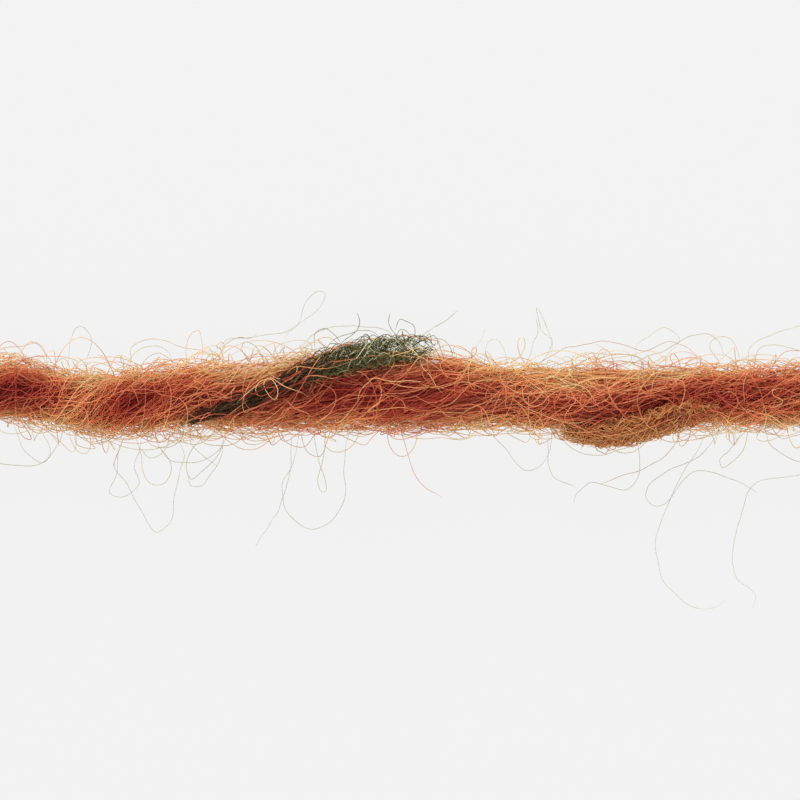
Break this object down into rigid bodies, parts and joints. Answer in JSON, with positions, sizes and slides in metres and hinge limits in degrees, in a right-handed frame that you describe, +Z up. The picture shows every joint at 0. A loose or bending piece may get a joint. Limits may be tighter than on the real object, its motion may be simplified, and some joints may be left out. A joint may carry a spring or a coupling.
{
  "type": "cut length of single-ply wool yarn",
  "caption": "Short cut length of soft single-ply wool yarn, gently twisted and hairy, with a tuft of green wool and one of ochre wool spun in, lying on a surface.",
  "frame": {"origin": "on the flat underside of the strand, halfway along the cut length and under the strand's axis there", "axes": "+X along the strand, to the right in the picture; +Y across it, up in the picture; +Z up from the surface it lies on, towards the camera"},
  "size_m": [0.0406, 0.0095, 0.0025],
  "materials": {
    "rust_wool": "matte",
    "green_wool": "matte",
    "ochre_wool": "matte"
  },
  "bodies": {
    "root": {"strand": "rust_wool", "green_slub": "green_wool", "ochre_slub": "ochre_wool"}
  },
  "joints": []
}
